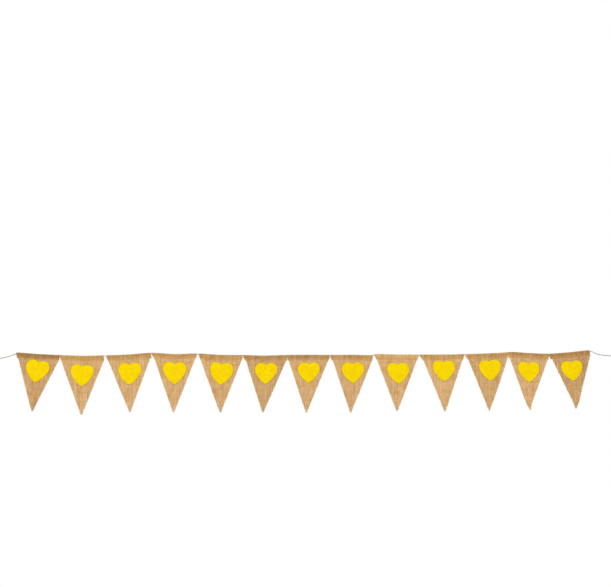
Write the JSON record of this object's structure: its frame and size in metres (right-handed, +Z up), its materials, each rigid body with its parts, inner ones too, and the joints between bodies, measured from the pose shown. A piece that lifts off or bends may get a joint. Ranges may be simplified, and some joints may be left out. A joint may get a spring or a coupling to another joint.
{
  "type": "heart pennant bunting",
  "caption": "Hessian pennant bunting: tall triangular flags folded over a jute twine, each with a yellow felt heart, and a tied eye at each end of the twine.",
  "frame": {"origin": "on the line of the twine, at the middle of the row of pennants, where the bunting hangs", "axes": "+X along the twine to the viewer's right, +Z up, hearts face -Y"},
  "size_m": [2.2054, 0.0123, 0.2222],
  "materials": {
    "hessian": "plain woven jute cloth, matt, slightly see-through, raw cut edges",
    "yellow_felt": "matt pressed felt, soft cut edges",
    "jute_twine": "twisted jute twine, dull grey-brown, slightly hairy"
  },
  "bodies": {
    "root": {"flag_01": "hessian", "flag_02": "hessian", "flag_03": "hessian", "flag_04": "hessian", "flag_05": "hessian", "flag_06": "hessian", "flag_07": "hessian", "flag_08": "hessian", "flag_09": "hessian", "flag_10": "hessian", "flag_11": "hessian", "flag_12": "hessian", "flag_13": "hessian", "heart_01": "yellow_felt", "heart_02": "yellow_felt", "heart_03": "yellow_felt", "heart_04": "yellow_felt", "heart_05": "yellow_felt", "heart_06": "yellow_felt", "heart_07": "yellow_felt", "heart_08": "yellow_felt", "heart_09": "yellow_felt", "heart_10": "yellow_felt", "heart_11": "yellow_felt", "heart_12": "yellow_felt", "heart_13": "yellow_felt", "twine": "jute_twine"}
  },
  "joints": []
}
